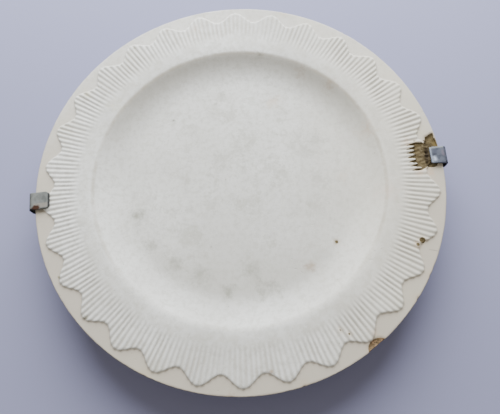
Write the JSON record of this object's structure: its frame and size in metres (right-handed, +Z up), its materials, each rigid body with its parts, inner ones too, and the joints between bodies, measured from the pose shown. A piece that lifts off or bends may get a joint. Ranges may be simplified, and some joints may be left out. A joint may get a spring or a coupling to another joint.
{
  "type": "plaster plate mold",
  "caption": "Round plaster plate mold with a ribbed shell-edge rim, held in an adjustable steel strap hanger.",
  "frame": {"origin": "centre of the mold on the plane of its foot ring, which is the middle of the bounding box's bottom", "axes": "+Z up out of the molding face, +X to the mold's right, +Y away from the viewer; the strap lies 6.43 degrees counter-clockwise of +X"},
  "size_m": [0.307, 0.2998, 0.0389],
  "materials": {
    "plaster": "matte, dry cast plaster",
    "galvanised_strap": "dull galvanised sheet",
    "zinc_hardware": "zinc plated",
    "wire_steel": "drawn wire"
  },
  "bodies": {
    "mold": {"plaster_mold": "plaster", "right_strap": "galvanised_strap", "clamp_screw_1": "zinc_hardware", "clamp_screw_2": "zinc_hardware", "clamp_washer_1": "zinc_hardware", "clamp_washer_2": "zinc_hardware", "clamp_nut_1": "zinc_hardware", "clamp_nut_2": "zinc_hardware", "ring_tab": "galvanised_strap", "tab_rivet_1": "zinc_hardware", "tab_rivet_2": "zinc_hardware"},
    "left_strap": {"left_strap": "galvanised_strap"},
    "hanging_ring": {"hanging_ring": "wire_steel"}
  },
  "joints": [
    {"name": "left_strap_slide", "type": "slide", "parent": "mold", "child": "left_strap", "axis": [-0.9937, -0.112, 0], "range_m": [0, 0.014]},
    {"name": "ring_hinge", "type": "hinge", "parent": "mold", "child": "hanging_ring", "pos_m": [0.05962, 0.00672, 0.00275], "axis": [-0.112, 0.9937, 0], "range_deg": [-6, 170]}
  ]
}
